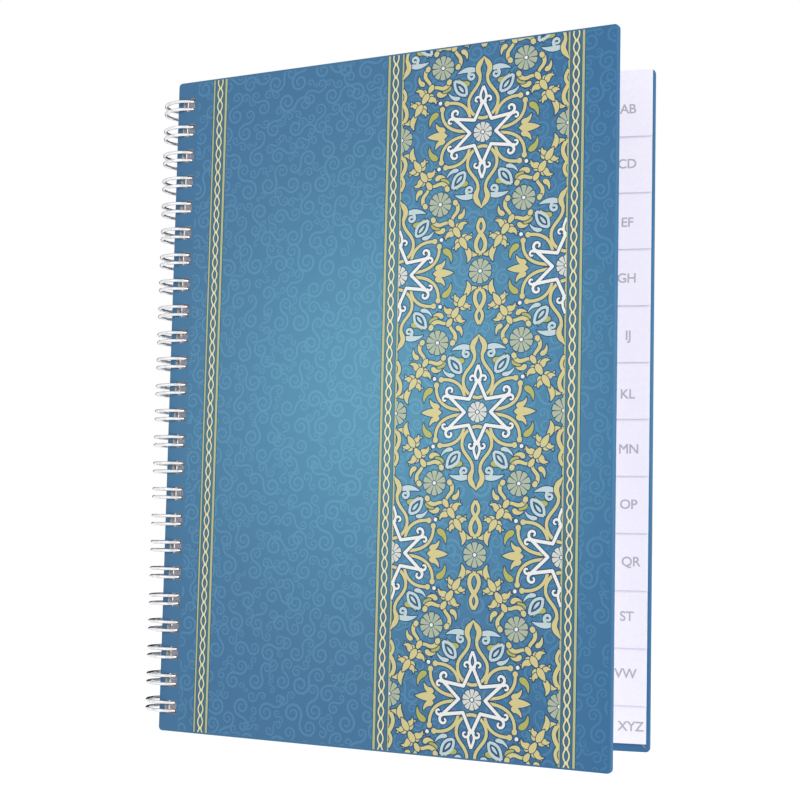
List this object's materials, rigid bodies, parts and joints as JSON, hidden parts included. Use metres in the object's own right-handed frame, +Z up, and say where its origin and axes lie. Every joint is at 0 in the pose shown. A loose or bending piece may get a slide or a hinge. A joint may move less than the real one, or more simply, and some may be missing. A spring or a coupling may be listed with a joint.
{
  "type": "wire-bound index notebook",
  "caption": "Upright wire-bound A to Z index book with printed hard covers, step-cut index leaves, ruled leaves and one twin-loop wire that every cover and leaf turns on.",
  "frame": {"origin": "middle of the standing book's footprint, on the surface that its covers stand on", "axes": "+Z up along the binding wire, +X from the spine to the fore-edge, -Y towards a reader who faces the front cover"},
  "size_m": [0.1613, 0.0511, 0.21],
  "materials": {
    "cover_print": "satin",
    "board": "matte",
    "endpaper": "matte",
    "leaf_paper": "matte",
    "wire": "polished"
  },
  "bodies": {
    "back_cover": {"back_board": "board", "back_cover_wrap": "cover_print", "back_endpaper": "endpaper", "binding_wire": "wire"},
    "section_xyz": {"index_leaf_xyz": "leaf_paper", "ruled_leaves_xyz": "leaf_paper"},
    "section_uvw": {"index_leaf_uvw": "leaf_paper", "ruled_leaves_uvw": "leaf_paper"},
    "section_st": {"index_leaf_st": "leaf_paper", "ruled_leaves_st": "leaf_paper"},
    "section_qr": {"index_leaf_qr": "leaf_paper", "ruled_leaves_qr": "leaf_paper"},
    "section_op": {"index_leaf_op": "leaf_paper", "ruled_leaves_op": "leaf_paper"},
    "section_mn": {"index_leaf_mn": "leaf_paper", "ruled_leaves_mn": "leaf_paper"},
    "section_kl": {"index_leaf_kl": "leaf_paper", "ruled_leaves_kl": "leaf_paper"},
    "section_ij": {"index_leaf_ij": "leaf_paper", "ruled_leaves_ij": "leaf_paper"},
    "section_gh": {"index_leaf_gh": "leaf_paper", "ruled_leaves_gh": "leaf_paper"},
    "section_ef": {"index_leaf_ef": "leaf_paper", "ruled_leaves_ef": "leaf_paper"},
    "section_cd": {"index_leaf_cd": "leaf_paper", "ruled_leaves_cd": "leaf_paper"},
    "section_ab": {"index_leaf_ab": "leaf_paper", "ruled_leaves_ab": "leaf_paper"},
    "front_cover": {"front_board": "board", "front_cover_wrap": "cover_print", "front_endpaper": "endpaper"}
  },
  "joints": [
    {"name": "open_at_xyz", "type": "hinge", "parent": "back_cover", "child": "section_xyz", "pos_m": [-0.0726, 0.01743, 0], "axis": [0, 0, -1], "range_deg": [0, 15]},
    {"name": "open_at_uvw", "type": "hinge", "parent": "section_xyz", "child": "section_uvw", "pos_m": [-0.0726, 0.01743, 0], "axis": [0, 0, -1], "range_deg": [0, 15]},
    {"name": "open_at_st", "type": "hinge", "parent": "section_uvw", "child": "section_st", "pos_m": [-0.0726, 0.01743, 0], "axis": [0, 0, -1], "range_deg": [0, 15]},
    {"name": "open_at_qr", "type": "hinge", "parent": "section_st", "child": "section_qr", "pos_m": [-0.0726, 0.01743, 0], "axis": [0, 0, -1], "range_deg": [0, 15]},
    {"name": "open_at_op", "type": "hinge", "parent": "section_qr", "child": "section_op", "pos_m": [-0.0726, 0.01743, 0], "axis": [0, 0, -1], "range_deg": [0, 15]},
    {"name": "open_at_mn", "type": "hinge", "parent": "section_op", "child": "section_mn", "pos_m": [-0.0726, 0.01743, 0], "axis": [0, 0, -1], "range_deg": [0, 15]},
    {"name": "open_at_kl", "type": "hinge", "parent": "section_mn", "child": "section_kl", "pos_m": [-0.0726, 0.01743, 0], "axis": [0, 0, -1], "range_deg": [0, 15]},
    {"name": "open_at_ij", "type": "hinge", "parent": "section_kl", "child": "section_ij", "pos_m": [-0.0726, 0.01743, 0], "axis": [0, 0, -1], "range_deg": [0, 15]},
    {"name": "open_at_gh", "type": "hinge", "parent": "section_ij", "child": "section_gh", "pos_m": [-0.0726, 0.01743, 0], "axis": [0, 0, -1], "range_deg": [0, 15]},
    {"name": "open_at_ef", "type": "hinge", "parent": "section_gh", "child": "section_ef", "pos_m": [-0.0726, 0.01743, 0], "axis": [0, 0, -1], "range_deg": [0, 15]},
    {"name": "open_at_cd", "type": "hinge", "parent": "section_ef", "child": "section_cd", "pos_m": [-0.0726, 0.01743, 0], "axis": [0, 0, -1], "range_deg": [0, 15]},
    {"name": "open_at_ab", "type": "hinge", "parent": "section_cd", "child": "section_ab", "pos_m": [-0.0726, 0.01743, 0], "axis": [0, 0, -1], "range_deg": [0, 15]},
    {"name": "front_cover_swing", "type": "hinge", "parent": "section_ab", "child": "front_cover", "pos_m": [-0.0726, 0.01743, 0], "axis": [0, 0, 1], "range_deg": [-166.2, 13.8]}
  ]
}
